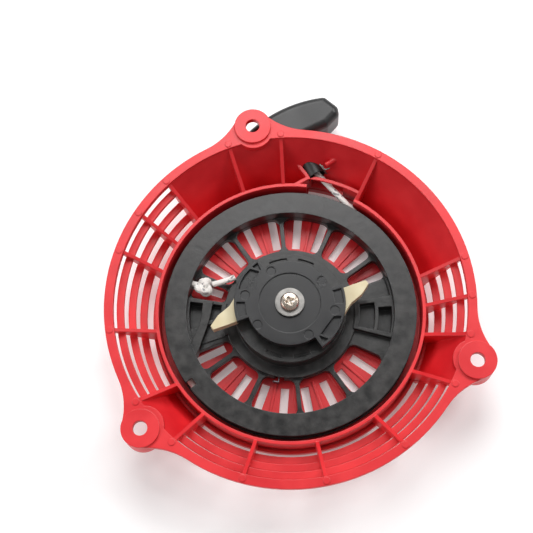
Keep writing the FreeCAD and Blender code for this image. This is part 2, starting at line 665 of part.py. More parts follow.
def reel():
    """Hub, spokes, drum and the two flanges of the rope groove."""
    hub = new_body("reel_hub")
    add_revolution(hub, "hub_profile", [
        (D.post_radius + D.running_gap, sleeve_bottom), (D.sleeve_radius, sleeve_bottom),
        (D.sleeve_radius, cup_inside), (D.cup_radius - D.cup_wall, cup_inside),
        (D.cup_radius - D.cup_wall, D.chamber_roof), (D.chamber_radius, D.chamber_roof),
        (D.chamber_radius, D.hub_floor), (D.hub_radius, D.hub_floor), (D.hub_radius, D.hub_ring_top),
        (D.cup_radius, D.hub_ring_top), (D.cup_radius, D.cup_top), (D.sleeve_radius, D.cup_top),
        (D.sleeve_radius, D.sleeve_top), (D.post_radius + D.running_gap, D.sleeve_top)])
    drum_inner = D.groove_radius - D.drum_wall
    rim = new_body("reel_rim")
    add_revolution(rim, "rim_profile", [
        (drum_inner, D.reel_bottom), (D.reel_radius, D.reel_bottom),
        (D.reel_radius, D.reel_bottom + D.reel_flange), (D.groove_radius, D.reel_bottom + D.reel_flange),
        (D.groove_radius, D.reel_top - D.reel_flange), (D.reel_radius, D.reel_top - D.reel_flange),
        (D.reel_radius, D.reel_top), (drum_inner, D.reel_top)])
    web_low = D.reel_bottom + 0.4
    web = ring("reel_web", D.hub_radius - 1, drum_inner + 1, web_low, web_low + D.spoke_height)
    windows = [feature("reel_window_%d" % index, window_shape(start, end))
               for index, (start, end) in enumerate(REEL_WINDOWS + SIDE_WINDOWS)]
    solids = [hub, rim, cut("reel_spokes", web, fuse("reel_windows", windows))]
    cuts = []
    for side, start, end in ((0, -20.0, 15.5), (180, -14.5, 14.0)):
        block, pockets = anchor_block(side, start, end)
        solids.append(block)
        cuts += pockets
    solids.append(anchor_arm())
    for side in (0, 180):
        x, y = ratchet_place(side)
        solids.append(cylinder("pivot_platform_%d" % side, D.platform_radius,
                               ratchet_bottom - D.stub_depth - 2, D.cup_top, x, y))
        cuts.append(cylinder("pivot_bore_%d" % side, D.stub_radius + D.running_gap / 2,
                             ratchet_bottom - D.stub_depth - 0.3, D.cup_top + 1, x, y))
        cuts.append(cylinder("spring_seat_%d" % side,
                             D.return_coil_radius + D.return_wire_radius + 0.4, D.cup_top - 3.2,
                             D.cup_top + 1, x, y))
    notch = doc.addObject("Part::Box", "rim_notch")
    bind(notch, "Length", 10)
    bind(notch, "Width", D.notch_width)
    bind(notch, "Height", D.reel_flange + 2)
    corner = FreeCAD.Rotation(FreeCAD.Vector(0, 0, 1), D.notch_angle.value).multVec(
        spot(D.reel_radius - D.notch_depth, -D.notch_width / 2))
    notch.Placement = FreeCAD.Placement(corner, FreeCAD.Rotation(FreeCAD.Vector(0, 0, 1),
                                                                 D.notch_angle.value))
    bind(notch, "Placement.Base.z", D.reel_top - D.reel_flange - 1)
    knot, outward = knot_place()
    hole = Part.makeCylinder((D.rope_radius + D.rope_clearance).value, 12, knot, outward)
    seat = Part.makeSphere((D.knot_radius + D.rope_clearance).value, knot,
                           outward.cross(FreeCAD.Vector(0, 0, 1)))
    tail = tube(knot_tail_route(), (D.rope_radius + D.rope_clearance).value)
    hook_notch = ring_sector("hook_notch", D.chamber_radius - 1, D.hub_radius + 1, D.hub_floor - 1,
                             D.chamber_roof + 0.2, D.hook_angle - 4, D.hook_angle + 4)
    for index, (start, end) in enumerate(HUB_RECESSES):
        cuts.append(ring_sector("hub_recess_%d" % index, D.cup_radius - 4.4, D.cup_radius - 2.4,
                                D.cup_top - 0.9, D.cup_top + 1, start, end))
    cuts += [notch, feature("knot_hole", hole), feature("knot_seat", seat),
             feature("knot_tail_gap", tail), hook_notch]
    return cut("reel", fuse("reel_solids", solids), fuse("reel_cuts", cuts))


# ------------------------------------------------------------ recoil spring

def recoil_spring():
    """Flat strip wound in half circles of growing radius, with a hook at each end."""
    strip = D.spring_strip.value
    inner = D.spring_inner.value
    step = ((D.chamber_radius - D.spring_inner).value - 1.6 - strip) / SPRING_HALF_TURNS
    turns = []
    for side in (0.0, strip):
        path = []
        start = FreeCAD.Vector(inner + side, 0, 0)
        for half in range(SPRING_HALF_TURNS):
            radius = inner + side + step * half
            sign = 1 if half % 2 == 0 else -1
            middle = start + FreeCAD.Vector(-sign * radius, sign * radius, 0)
            end = start + FreeCAD.Vector(-2 * sign * radius, 0, 0)
            path.append(Part.Arc(start, middle, end).toShape())
            start = end
        turns.append((path, start))
    (inner_path, inner_end), (outer_path, outer_end) = turns
    ends = [Part.LineSegment(FreeCAD.Vector(inner, 0, 0), FreeCAD.Vector(inner + strip, 0, 0)).toShape(),
            Part.LineSegment(inner_end, outer_end).toShape()]
    face = Part.Face(Part.Wire(Part.__sortEdges__(inner_path + outer_path + ends)))
    coil = face.extrude(FreeCAD.Vector(0, 0, D.spring_width.value))
    anchor = Part.makeBox(inner + strip - D.post_foot_radius.value + 3, strip, D.spring_width.value,
                          FreeCAD.Vector(D.post_foot_radius.value - 3, 0, 0))
    narrow = D.spring_width.value - 1.6
    reach = D.hook_reach.value
    leg = Part.makeBox(reach - inner_end.x, strip, narrow, FreeCAD.Vector(inner_end.x, -strip, 0.8))
    bend = Part.makeBox(strip, 3.6, narrow, FreeCAD.Vector(reach - strip, -3.6, 0.8))
    shape = coil.fuse([anchor, leg, bend]).removeSplitter()
    item = feature("recoil_spring", shape)
    item.Placement = FreeCAD.Placement(FreeCAD.Vector(0, 0, spring_bottom.value),
                                       FreeCAD.Rotation(FreeCAD.Vector(0, 0, 1), D.hook_angle.value))
    return item


# ------------------------------------------------------- ratchets and guide

def fillet_outline(points, radii):
    """A face with its corners rounded, one radius for each corner."""
    count = len(points)
    edges = []
    joints = []
    for index in range(count):
        corner = points[index]
        before = (points[index - 1] - corner).normalize()
        after = (points[(index + 1) % count] - corner).normalize()
        turn = math.pi - before.getAngle(after)
        reach = radii[index] * math.tan(turn / 2)
        bulge = radii[index] / math.cos(turn / 2) - radii[index]
        joints.append((corner + before * reach, corner + (before + after).normalize() * bulge,
                       corner + after * reach))
    for index in range(count):
        first, middle, last = joints[index]
        edges.append(Part.Arc(first, middle, last).toShape())
        edges.append(Part.LineSegment(last, joints[(index + 1) % count][0]).toShape())
    return Part.Face(Part.Wire(edges))


def ratchet(name, side):
    """A ratchet with its pivot stub below and its guide peg above."""
    tip = spot(D.ratchet_tip_x, D.ratchet_tip_y)
    pivot = spot(D.ratchet_pivot_x, D.ratchet_pivot_y)
    boss = D.ratchet_boss_radius.value
    outline = fillet_outline([
        tip, tip + spot(1.6, -2.1), tip + spot(9.0, 0.2), tip + spot(16.2, 2.6),
        pivot + spot(0.4, -boss + 0.2), pivot + spot(0.2, boss - 0.2),
        pivot + spot(-6.4, -1.2), tip + spot(10.6, 11.0), tip + spot(4.2, 6.0)],
        [0.5, 0.5, 3.0, 5.0, 0.6, 0.6, 4.0, 6.0, 6.0])
    body = outline.extrude(FreeCAD.Vector(0, 0, D.ratchet_thickness.value))
    body = body.fuse([Part.makeCylinder(boss, D.ratchet_thickness.value, pivot)]).removeSplitter()
    plate = feature(name + "_arm", body)
    plate.Placement = FreeCAD.Placement(FreeCAD.Vector(), FreeCAD.Rotation(FreeCAD.Vector(0, 0, 1), side))
    bind(plate, "Placement.Base.z", ratchet_bottom)
    x, y = ratchet_place(side)
    sign = 1 if side == 0 else -1
    stub = cylinder(name + "_stub", D.stub_radius, ratchet_bottom - D.stub_depth, ratchet_bottom + 1, x, y)
    peg = cylinder(name + "_peg", D.peg_radius, ratchet_top - 1, ratchet_top + D.peg_height,
                   D.peg_x * sign, D.peg_y * sign)
    return fuse(name, [plate, stub, peg])


def return_spring(name, side):
    """Small close-wound spring round the ratchet's stub, in its seat in the hub."""
    x, y = ratchet_place(side)
    turns = []
    for index in range(RETURN_SPRING_TURNS):
        turn = doc.addObject("Part::Torus", "%s_turn_%d" % (name, index))
        bind(turn, "Radius1", D.return_coil_radius)
        bind(turn, "Radius2", D.return_wire_radius)
        bind(turn, "Placement.Base.x", x)
        bind(turn, "Placement.Base.y", y)
        bind(turn, "Placement.Base.z", ratchet_bottom - 0.1 - D.return_wire_radius * (1 + 1.8 * index))
        turns.append(turn)
    return fuse(name, turns)


def peg_path():
    """Where a ratchet's peg runs in the guide, from its outer stop to its inner one."""
    pivot = spot(D.ratchet_pivot_x, D.ratchet_pivot_y)
    arm = spot(D.peg_x, D.peg_y) - pivot
    steps = 10
    axis = FreeCAD.Vector(0, 0, 1)
    places = []
    for step in range(steps + 1):
        turn = -D.guide_back_turn.value + (D.guide_back_turn + D.guide_out_turn).value * step / steps
        peg = pivot + FreeCAD.Rotation(axis, turn * D.ratchet_ratio.value).multVec(arm)
        places.append(FreeCAD.Rotation(axis, -turn).multVec(peg))
    return places


def cam_slot(side):
    radius = (D.peg_radius + D.cam_slot_clearance).value
    height = D.cam_slot_depth.value + 1
    turn = FreeCAD.Rotation(FreeCAD.Vector(0, 0, 1), side)
    base = FreeCAD.Vector(0, 0, guide_bottom.value - 1)
    places = [turn.multVec(place) + base for place in peg_path()]
    shapes = [Part.makeCylinder(radius, height, places[0])]
    for here, there in zip(places, places[1:]):
        run = there - here
        across = run.cross(FreeCAD.Vector(0, 0, 1)).normalize() * radius
        flank = Part.Face(Part.makePolygon([here - across, there - across, there + across,
                                            here + across, here - across]))
        shapes.append(flank.extrude(FreeCAD.Vector(0, 0, height)))
        shapes.append(Part.makeCylinder(radius, height, there))
    return feature("cam_slot_%d" % side, shapes[0].fuse(shapes[1:]))


# Centres of the shallow round marks in the guide's face, and the corners of the two recesses in
# each lobe, as depth in from the lobe's edge and angle about Z.
MARK_SPOTS = [(-9.7, 18.6), (-24.7, 5.4), (18.3, 11.9), (9.7, -18.6), (24.7, -5.4), (-18.3, -11.9)]
SHORT_RECESS = [(1.4, 125.6), (6.2, 128.4), (1.4, 133.4)]
LONG_RECESS = [(1.4, 136.2), (6.2, 131.2), (5.4, 160.0), (1.5, 162.5), (1.1, 153.5), (1.1, 144.5)]


def lobe_recess(name, corners, side):
    body = new_body(name)
    points = [((D.guide_lobe_radius - depth) * math.cos(math.radians(angle)),
               (D.guide_lobe_radius - depth) * math.sin(math.radians(angle))) for depth, angle in corners]
    add_pad(body, name + "_pad", points, guide_top - 2.0, guide_top + 1)
    turn_about_z(body, side)
    return body


def ratchet_guide():
    """The plate that swings the ratchets out, with a lobe, a cam slot and three recesses per side."""
    solids = [ring("guide_disc", D.post_neck_radius + D.running_gap, D.guide_radius, guide_bottom,
                   guide_top)]
    solids.append(ring("guide_skirt", D.guide_skirt_radius - D.guide_skirt_wall, D.guide_skirt_radius,
                       guide_bottom - D.guide_skirt, guide_bottom + 0.5))
    cuts = [cylinder("guide_recess", D.guide_recess_radius, guide_recess, guide_top + 1)]
    for side in (0, 180):
        solids.append(ring_sector("guide_lobe_%d" % side, D.guide_radius - 4, D.guide_lobe_radius,
                                  guide_bottom, guide_top, 123 + side, 198 + side))
        cuts.append(cam_slot(side))
        cuts.append(lobe_recess("short_recess_%d" % side, SHORT_RECESS, side))
        cuts.append(lobe_recess("long_recess_%d" % side, LONG_RECESS, side))
        cuts.append(ring_sector("end_recess_%d" % side, D.guide_radius + 0.6, D.guide_lobe_radius - 1.3,
                                guide_top - 1.5, guide_top + 1, 177 + side, 194 + side))
    for index, (x, y) in enumerate(MARK_SPOTS):
        cuts.append(cylinder("guide_mark_%d" % index, 2.6, mark_floor(x, y), guide_top + 1, x, y))
    return cut("ratchet_guide", fuse("guide_solids", solids), fuse("guide_cuts", cuts))


def mark_floor(x, y):
    inside = math.hypot(x, y) < D.guide_recess_radius.value
    return (guide_recess if inside else guide_top) - 0.4


# -------------------------------------------------------------------- ropes

def knot_place():
    """Centre of the knot against the drum wall, and the direction out through the wall."""
    outward = polar(1, D.knot_angle)
    reach = D.groove_radius - D.drum_wall - D.knot_radius - 0.25
    return outward * reach.value + FreeCAD.Vector(0, 0, 12.4), outward


def knot_tail_route():
    """The free end of the rope past the knot, bent in towards the hub."""
    knot, outward = knot_place()
    inward = outward * -1
    bent = FreeCAD.Rotation(FreeCAD.Vector(0, 0, 1), 42).multVec(inward)
    first = knot + inward * 5.0 + FreeCAD.Vector(0, 0, 1.2)
    last = first + (bent * 1.0 + FreeCAD.Vector(0, 0, 0.16)) * (D.knot_tail.value - 5.0)
    return rounded_route([knot, first, last], [4.0])


def rope_coil():
    low = D.reel_bottom + D.reel_flange + D.rope_clearance
    high = D.reel_top - D.reel_flange - D.rope_clearance
    gap = D.rope_clearance
    coil = ring("rope_turns", D.groove_radius + gap, D.coil_radius, low + 0.4, high - 0.4)
    softened = ring("rope_turns_low", D.groove_radius + gap + 0.4, D.coil_radius - 0.6, low, high)
    return fuse("rope_coil", [coil, softened])


def reel_knot():
    """The knot on the rope's inner end, with its tail and the run through the drum wall."""
    knot, outward = knot_place()
    ball = Part.makeSphere(D.knot_radius.value, knot, outward.cross(FreeCAD.Vector(0, 0, 1)))
    wall = (D.knot_radius + D.drum_wall).value + 0.3
    run = Part.makeCylinder(D.rope_radius.value, wall, knot, outward)
    tail = tube(knot_tail_route(), D.rope_radius.value)
    return feature("reel_knot", ball.fuse([run, tail]).removeSplitter())


def rope_tangent():
    """The angle where the rope leaves the winding towards the outlet."""
    reach = (D.rope_wind_radius / outlet_radius).value
    return D.outlet_azimuth.value - math.degrees(math.acos(reach))


def rope_lead_inner():
    """The top layer of rope on the reel and its run to the outlet."""
    height = D.rope_height
    leave = rope_tangent()
    start = leave - D.rope_layer_turn.value
    wound = [Part.Arc(polar(D.rope_wind_radius, start, height),
                      polar(D.rope_wind_radius, (start + leave) / 2, height),
                      polar(D.rope_wind_radius, leave, height)).toShape()]
    place, pull = outlet_axis()
    tangent = polar(D.rope_wind_radius, leave, height)
    level = polar(1, leave + 90)
    points = [tangent, tangent + level * 6.0, place, place + pull * LEAD_SPLIT]
    route = Part.Wire(wound + rounded_route(points, [30.0, 24.0]).Edges)
    return feature("rope_lead_inner", tube(route, D.rope_radius.value))


LEAD_SPLIT = 5.0


def rope_lead_outer():
    """The run of rope from the outlet to the knot in the grip."""
    place, pull = outlet_axis()
    start = LEAD_SPLIT + 0.1
    knot = (D.grip_reach - D.grip_pocket_depth + D.grip_knot_radius + D.saddle_thickness).value
    return axis_cylinder("rope_lead_outer", D.rope_radius, start, knot - D.grip_knot_radius.value - 0.1)


# ----------------------------------------------------- rope guide, clip, grip

def rope_guide():
    """Bush in the case wall with a lip outside, flared where the rope turns into it."""
    inner_end = D.bush_inner_end.value
    body = axis_cylinder("bush_body", D.bush_radius, -inner_end, D.outlet_boss_length.value + 0.6)
    lip = axis_cylinder("bush_lip", D.bush_radius + D.bush_lip, D.outlet_boss_length.value + 0.05,
                        D.outlet_boss_length.value + 1.2)
    bore = axis_cylinder("bush_bore", D.bush_bore, -10, D.outlet_boss_length.value + 10)
    place, pull = outlet_axis()
    flare = Part.makeCone(D.bush_radius.value - 0.6, D.bush_bore.value, inner_end + 3.0,
                          place - pull * (inner_end + 0.1), pull)
    mouth = Part.makeCone(D.bush_bore.value, 3.8, 2.0, place + pull * (D.outlet_boss_length.value - 0.7),
                          pull)
    return cut("rope_guide", fuse("bush_solids", [body, lip]),
               fuse("bush_cuts", [bore, feature("bush_flare", flare), feature("bush_mouth", mouth)]))


def guide_clip():
    """Two bent wires joined where they cross, beside the tip of the pin."""
    place, pull = outlet_axis()
    cross = place + spot(5.8, -3.0, 7.5)
    upright = [place + spot(7.3, -2.6, 0.5), cross, place + spot(3.4, 0.6, 8.2)]
    bridge = [place + spot(4.7, -0.4, 8.6), cross, place + spot(9.0, -1.9, 7.5)]
    wires = [tube(rounded_route(points, [0.9]), D.clip_wire_radius.value) for points in (upright, bridge)]
    return feature("guide_clip", wires[0].fuse(wires[1]).removeSplitter())


def grip_frame():
    """Local axes of the grip: across, along the pull, and the outer centre."""
    place, pull = outlet_axis()
    across = pull.cross(FreeCAD.Vector(0, 0, 1))
    return place + pull * D.grip_reach.value, across, pull


def pull_grip():
    """Moulded grip: bowed outer face, rounded edges, and a stem towards the case."""
    centre, across, pull = grip_frame()
    wide = D.grip_half_width.value
    deep = D.grip_depth.value
    bow = D.grip_bow.value
    half = [(wide - 4.2, -bow), (wide, -bow - 9.6), (wide - 1.6, -deep + 3.8), (wide - 10.9, -deep)]

    def place(w, u):
        return centre + across * w + pull * u + FreeCAD.Vector(0, 0, -D.grip_height.value / 2)
    corners = [place(w, u) for w, u in half] + [place(-w, u) for w, u in reversed(half)]
    edges = [Part.LineSegment(here, there).toShape() for here, there in zip(corners, corners[1:])]
    edges.append(Part.Arc(corners[-1], place(0, 0), corners[0]).toShape())
    block = Part.Face(Part.Wire(edges)).extrude(FreeCAD.Vector(0, 0, D.grip_height.value))
    height = centre.z
    uprights = [edge for edge in block.Edges if abs(edge.CenterOfMass.z - height) < 0.01]
    block = block.makeFillet(D.grip_end_round.value, uprights)
    rims = [edge for edge in block.Edges
            if abs(abs(edge.CenterOfMass.z - height) - D.grip_height.value / 2) < 0.01]
    block = block.makeFillet(D.grip_round.value, rims)
    block = feature("grip_block", block)
    reach = D.grip_reach.value
    stem = axis_cylinder("grip_stem", D.grip_stem_radius, reach - deep - D.grip_stem_length.value,
                         reach - deep + 2)
    bore = axis_cylinder("grip_bore", D.rope_radius + D.rope_clearance, 0, reach)
    pocket = axis_cylinder("grip_pocket", D.grip_pocket_radius, reach - D.grip_pocket_depth.value,
                           reach + 5)
    return cut("pull_grip", fuse("grip_solids", [block, stem]), fuse("grip_cuts", [bore, pocket]))


def grip_reinforcement():
    """Steel saddle that the rope's knot bears on in the grip."""
    start = (D.grip_reach - D.grip_pocket_depth).value + 0.02
    plate = axis_cylinder("saddle_plate", D.grip_pocket_radius - 0.2, start,
                          start + D.saddle_thickness.value)
    hole = axis_cylinder("saddle_hole", D.rope_radius + D.rope_clearance, start - 1,
                         start + D.saddle_thickness.value + 1)
    return cut("grip_reinforcement", plate, hole)


def grip_knot():
    place, pull = outlet_axis()
    reach = (D.grip_reach - D.grip_pocket_depth + D.saddle_thickness + D.grip_knot_radius).value + 0.1
    ball = Part.makeSphere(D.grip_knot_radius.value, place + pull * reach)
    return feature("grip_knot", ball)


PIECES = [
    starter_case(), post_insert(), center_screw(), screw_washer(), thrust_washer(), friction_spring(),
    reel(), recoil_spring(), rope_coil(), reel_knot(), rope_lead_inner(), rope_lead_outer(),
    ratchet("ratchet_left", 0), ratchet("ratchet_right", 180),
    return_spring("ratchet_spring_left", 0), return_spring("ratchet_spring_right", 180),
    ratchet_guide(), rope_guide(), guide_clip(), pull_grip(), grip_reinforcement(), grip_knot(),
]

doc.recompute()
faulty = [item.Label for item in doc.Objects if "Invalid" in item.State or "Error" in item.State]
if faulty:
    raise RuntimeError("not sound: %s" % ", ".join(faulty))
os.makedirs("parts", exist_ok=True)
for piece in PIECES:
    if piece.Shape.isNull() or not piece.Shape.isValid():
        raise RuntimeError("%s has no sound shape" % piece.Label)
    if len(piece.Shape.Solids) != 1:
        raise RuntimeError("%s has %d solids" % (piece.Label, len(piece.Shape.Solids)))
    box = piece.Shape.BoundBox
    print("%-22s %9.1f mm3  z %6.2f to %6.2f" % (piece.Label, piece.Shape.Volume, box.ZMin, box.ZMax))
    piece.Shape.exportStep("parts/%s.step" % piece.Label)
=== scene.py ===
import math

import bpy
import numpy as np
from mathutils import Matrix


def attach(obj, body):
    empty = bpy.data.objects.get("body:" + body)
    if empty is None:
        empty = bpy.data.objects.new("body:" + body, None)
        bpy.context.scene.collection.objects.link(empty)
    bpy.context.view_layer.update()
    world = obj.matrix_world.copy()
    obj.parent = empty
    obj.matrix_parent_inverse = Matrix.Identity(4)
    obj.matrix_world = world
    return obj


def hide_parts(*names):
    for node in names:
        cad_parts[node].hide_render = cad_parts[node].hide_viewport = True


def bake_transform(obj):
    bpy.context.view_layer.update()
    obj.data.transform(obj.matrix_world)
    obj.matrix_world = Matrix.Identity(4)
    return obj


bl_info = {
    "name": "Recoil Starter",
    "version": (1, 0, 0),
    "blender": (4, 5, 0),
    "location": "View3D > Sidebar > Starter",
    "description": "Finishes and adds the rope, knots and grip of a recoil starter on its CAD frame",
    "category": "Object",
}

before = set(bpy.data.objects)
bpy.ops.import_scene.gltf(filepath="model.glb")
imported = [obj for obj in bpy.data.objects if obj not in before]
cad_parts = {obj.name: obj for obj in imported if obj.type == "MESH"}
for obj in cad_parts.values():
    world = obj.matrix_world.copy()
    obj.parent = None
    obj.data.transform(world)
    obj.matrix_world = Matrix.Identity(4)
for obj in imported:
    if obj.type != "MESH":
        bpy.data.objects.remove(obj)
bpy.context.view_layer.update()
MM = 0.001

# Where the rope lies on the reel, turns in the bush, and is pulled to, in millimetres and degrees.
WIND_RADIUS = 68.9
ROPE_HEIGHT = 11.0
LAYER_TURN = 192.0
OUTLET_ANGLE = 78.5
OUTLET_RADIUS = 86.836
OUTLET = np.array([17.312, 85.095, 16.5])
PULL = np.array([-0.406737, 0.913545, 0.0])
LEAVE_ANGLE = OUTLET_ANGLE - math.degrees(math.acos(WIND_RADIUS / OUTLET_RADIUS))
LEAD_START = 5.05
LEAD_END_DEPTH = 10.5
GRIP_REACH = 41.0
GRIP_KNOT_DEPTH = 6.2
BRAID_LAY = 2.1
KNOT_PLACE = np.array([-49.0, 17.3, 12.6])
KNOT_ANGLE = 160.6
TAIL_END = np.array([-31.0, 22.0, 14.6])

# The camera, in metres and degrees, and the floor, in millimetres.
CAMERA_PLACE = (0.002436, -0.180431, 0.661948)
CAMERA_TURN = (17.7616, 1.9202, -1.8239)
CAMERA_LENS = 79.67
SENSOR_WIDTH = 36.0
FLOOR_HALF_SIZE = 3000.0


# ------------------------------------------------------------------ meshes

def unit(vectors):
    """Each vector divided by its length."""
    return vectors / np.linalg.norm(vectors, axis=-1, keepdims=True)


def smooth_shade(mesh):
    mesh.polygons.foreach_set("use_smooth", np.ones(len(mesh.polygons), bool))


def grid_object(name, points, wrap_along=False, wrap_around=True, caps=True, colours=None):
    """A surface from an (along, around, 3) grid of points in millimetres. Neighbouring rows and
    columns are joined by quads, the last to the first where they wrap, and open ends are closed by a
    fan to the mean of the end row. Rows run so that along x around points outwards."""
    rows, columns, _ = points.shape
    index = np.arange(rows * columns).reshape(rows, columns)
    next_row = np.roll(index, -1, 0) if wrap_along else index[1:]
    this_row = index if wrap_along else index[:-1]
    right = np.roll(this_row, -1, 1) if wrap_around else this_row[:, 1:]
    next_right = np.roll(next_row, -1, 1) if wrap_around else next_row[:, 1:]
    left = this_row if wrap_around else this_row[:, :-1]
    next_left = next_row if wrap_around else next_row[:, :-1]
    quads = np.stack([left, right, next_right, next_left], -1).reshape(-1, 4)
    vertices = points.reshape(-1, 3)
    triangles = np.zeros((0, 3), int)
    if caps and not wrap_along:
        centres = np.stack([points[0].mean(0), points[-1].mean(0)])
        first, last = index[0], index[-1]
        start = np.stack([np.full(columns, len(vertices)), np.roll(first, -1), first], -1)
        end = np.stack([np.full(columns, len(vertices) + 1), last, np.roll(last, -1)], -1)
        vertices = np.concatenate([vertices, centres])
        triangles = np.concatenate([start, end])
    mesh = bpy.data.meshes.new(name)
    mesh.vertices.add(len(vertices))
    mesh.vertices.foreach_set("co", (vertices * MM).astype(np.float32).ravel())
    loops = np.concatenate([quads.ravel(), triangles.ravel()])
    starts = np.concatenate([np.arange(len(quads)) * 4, len(quads) * 4 + np.arange(len(triangles)) * 3])
    mesh.loops.add(len(loops))
    mesh.loops.foreach_set("vertex_index", loops.astype(np.int32))
    mesh.polygons.add(len(starts))
    mesh.polygons.foreach_set("loop_start", starts.astype(np.int32))
    mesh.update(calc_edges=True)
    mesh.validate()
    for label, values in (colours or {}).items():
        values = values.ravel()
        if len(vertices) > len(values):
            values = np.concatenate([values, values[:1], values[-1:]])
        attribute = mesh.attributes.new(label, "FLOAT", "POINT")
        attribute.data.foreach_set("value", values.astype(np.float32))
    smooth_shade(mesh)
    item = bpy.data.objects.new(name, mesh)
    bpy.context.scene.collection.objects.link(item)
    return item


def even_steps(path, step):
    """The path resampled at equal distances by linear interpolation over its summed length."""
    gone = np.concatenate([[0.0], np.cumsum(np.linalg.norm(np.diff(path, axis=0), axis=1))])
    places = np.linspace(0.0, gone[-1], max(2, int(round(gone[-1] / step)) + 1))
    return np.stack([np.interp(places, gone, path[:, axis]) for axis in range(3)], 1), places


def hermite(start, start_pull, end, end_pull, count=60):
    """Cubic that leaves start along start_pull and reaches end along end_pull."""
    t = np.linspace(0, 1, count)[:, None]
    return ((2 * t ** 3 - 3 * t ** 2 + 1) * start + (t ** 3 - 2 * t ** 2 + t) * start_pull
            + (3 * t ** 2 - 2 * t ** 3) * end + (t ** 3 - t ** 2) * end_pull)


def frames_along(path, reference, closed=False):
    """Tangent by central differences, side = tangent x reference, and up = side x tangent."""
    if closed:
        tangent = unit(np.roll(path, -1, 0) - np.roll(path, 1, 0))
    else:
        tangent = unit(np.gradient(path, axis=0))
    side = unit(np.cross(tangent, reference))
    return tangent, side, np.cross(side, tangent)


def swept(path, reference, radius, closed=False):
    """Circle of the given radius, which may vary along and around, carried along the path:
    p = path + radius (cos a side + sin a up)."""
    radius = np.atleast_2d(radius)
    _, side, up = frames_along(path, reference, closed)
    columns = radius.shape[1]
    angle = np.arange(columns) / columns * 2 * np.pi
    ring = np.cos(angle)[None, :, None] * side[:, None] + np.sin(angle)[None, :, None] * up[:, None]
    return path[:, None] + radius[:, :, None] * ring


def braid(length, columns, radius, strands=8, lay=BRAID_LAY):
    """Height and yarn tone of a braided rope. Two families of strands cross as a chequerboard of
    diamonds; in each diamond the upper strand is a half-ellipse across itself, dipping at the ends of
    the diamond where it goes under its neighbour."""
    angle = np.arange(columns)[None, :] / columns
    along = length[:, None] / lay
    first = angle * strands + along
    second = angle * strands - along
    parity = (np.floor(first) + np.floor(second)) % 2
    across_first = first % 1 - 0.5
    across_second = second % 1 - 0.5
    across = np.where(parity == 0, across_first, across_second)
    lengthwise = np.where(parity == 0, across_second, across_first)
    crown = np.sqrt(np.clip(1 - (1.9 * across) ** 2, 0, 1)) * (0.55 + 0.45 * np.cos(np.pi * lengthwise))
    strand = np.where(parity == 0, np.floor(first) % strands, np.floor(second) % strands)
    tracer = ((parity == 0) & (strand == 0)) | ((parity == 1) & (strand == 4))
    # The crown also serves as the mask of the painted shade in the gaps between strands.
    return radius * (0.86 + 0.17 * crown), crown, tracer.astype(float)


# --------------------------------------------------------------- materials

def socket(group, name, kind, way, default=None):
    item = group.interface.new_socket(name=name, in_out=way, socket_type=kind)
    if default is not None:
        item.default_value = default
    return item


def link(tree, start, end):
    tree.links.new(start, end)


def node(tree, kind, **values):
    item = tree.nodes.new(kind)
    for name, value in values.items():
        setattr(item, name, value)
    return item


def math_node(tree, operation, first, second=None, clamp=False):
    item = node(tree, "ShaderNodeMath", operation=operation, use_clamp=clamp)
    for place, value in enumerate((first, second)):
        if value is None:
            continue
        if isinstance(value, (int, float)):
            item.inputs[place].default_value = value
        else:
            link(tree, value, item.inputs[place])
    return item.outputs[0]


def noise(tree, place, scale, detail=4.0, roughness=0.55):
    item = node(tree, "ShaderNodeTexNoise")
    item.inputs["Scale"].default_value = scale
    item.inputs["Detail"].default_value = detail
    item.inputs["Roughness"].default_value = roughness
    link(tree, place, item.inputs["Vector"])
    return item.outputs["Fac"]


def spread(tree, value, low, high, to_low=0.0, to_high=1.0):
    item = node(tree, "ShaderNodeMapRange")
    item.clamp = True
    item.inputs["From Min"].default_value = low
    item.inputs["From Max"].default_value = high
    item.inputs["To Min"].default_value = to_low
    item.inputs["To Max"].default_value = to_high
    link(tree, value, item.inputs["Value"])
    return item.outputs["Result"]


def mix_colour(tree, factor, first, second):
    item = node(tree, "ShaderNodeMix", data_type="RGBA")
    for place, value in ((0, factor), (6, first), (7, second)):
        if isinstance(value, (int, float)):
            item.inputs[place].default_value = value
        elif isinstance(value, tuple):
            item.inputs[place].default_value = value
        else:
            link(tree, value, item.inputs[place])
    return item.outputs[2]


def moulded_skin_group():
    """Pitted and slightly wavy surface of moulded plastic: a height, and a slow mottle."""
    name = "Moulded skin"
    if name in bpy.data.node_groups:
        return bpy.data.node_groups[name]
    group = bpy.data.node_groups.new(name, "ShaderNodeTree")
    socket(group, "Grain scale", "NodeSocketFloat", "INPUT", 2200.0)
    socket(group, "Wave scale", "NodeSocketFloat", "INPUT", 90.0)
    socket(group, "Height", "NodeSocketFloat", "OUTPUT")
    socket(group, "Mottle", "NodeSocketFloat", "OUTPUT")
    inputs = node(group, "NodeGroupInput")
    outputs = node(group, "NodeGroupOutput")
    place = node(group, "ShaderNodeTexCoord").outputs["Object"]
    fine = node(group, "ShaderNodeTexNoise")
    fine.inputs["Detail"].default_value = 3.0
    link(group, place, fine.inputs["Vector"])
    link(group, inputs.outputs["Grain scale"], fine.inputs["Scale"])
    slow = node(group, "ShaderNodeTexNoise")
    slow.inputs["Detail"].default_value = 5.0
    link(group, place, slow.inputs["Vector"])
    link(group, inputs.outputs["Wave scale"], slow.inputs["Scale"])
    height = math_node(group, "ADD", math_node(group, "MULTIPLY", fine.outputs["Fac"], 0.35),
                       math_node(group, "MULTIPLY", slow.outputs["Fac"], 1.0))
    link(group, height, outputs.inputs["Height"])
    link(group, slow.outputs["Fac"], outputs.inputs["Mottle"])
    return group


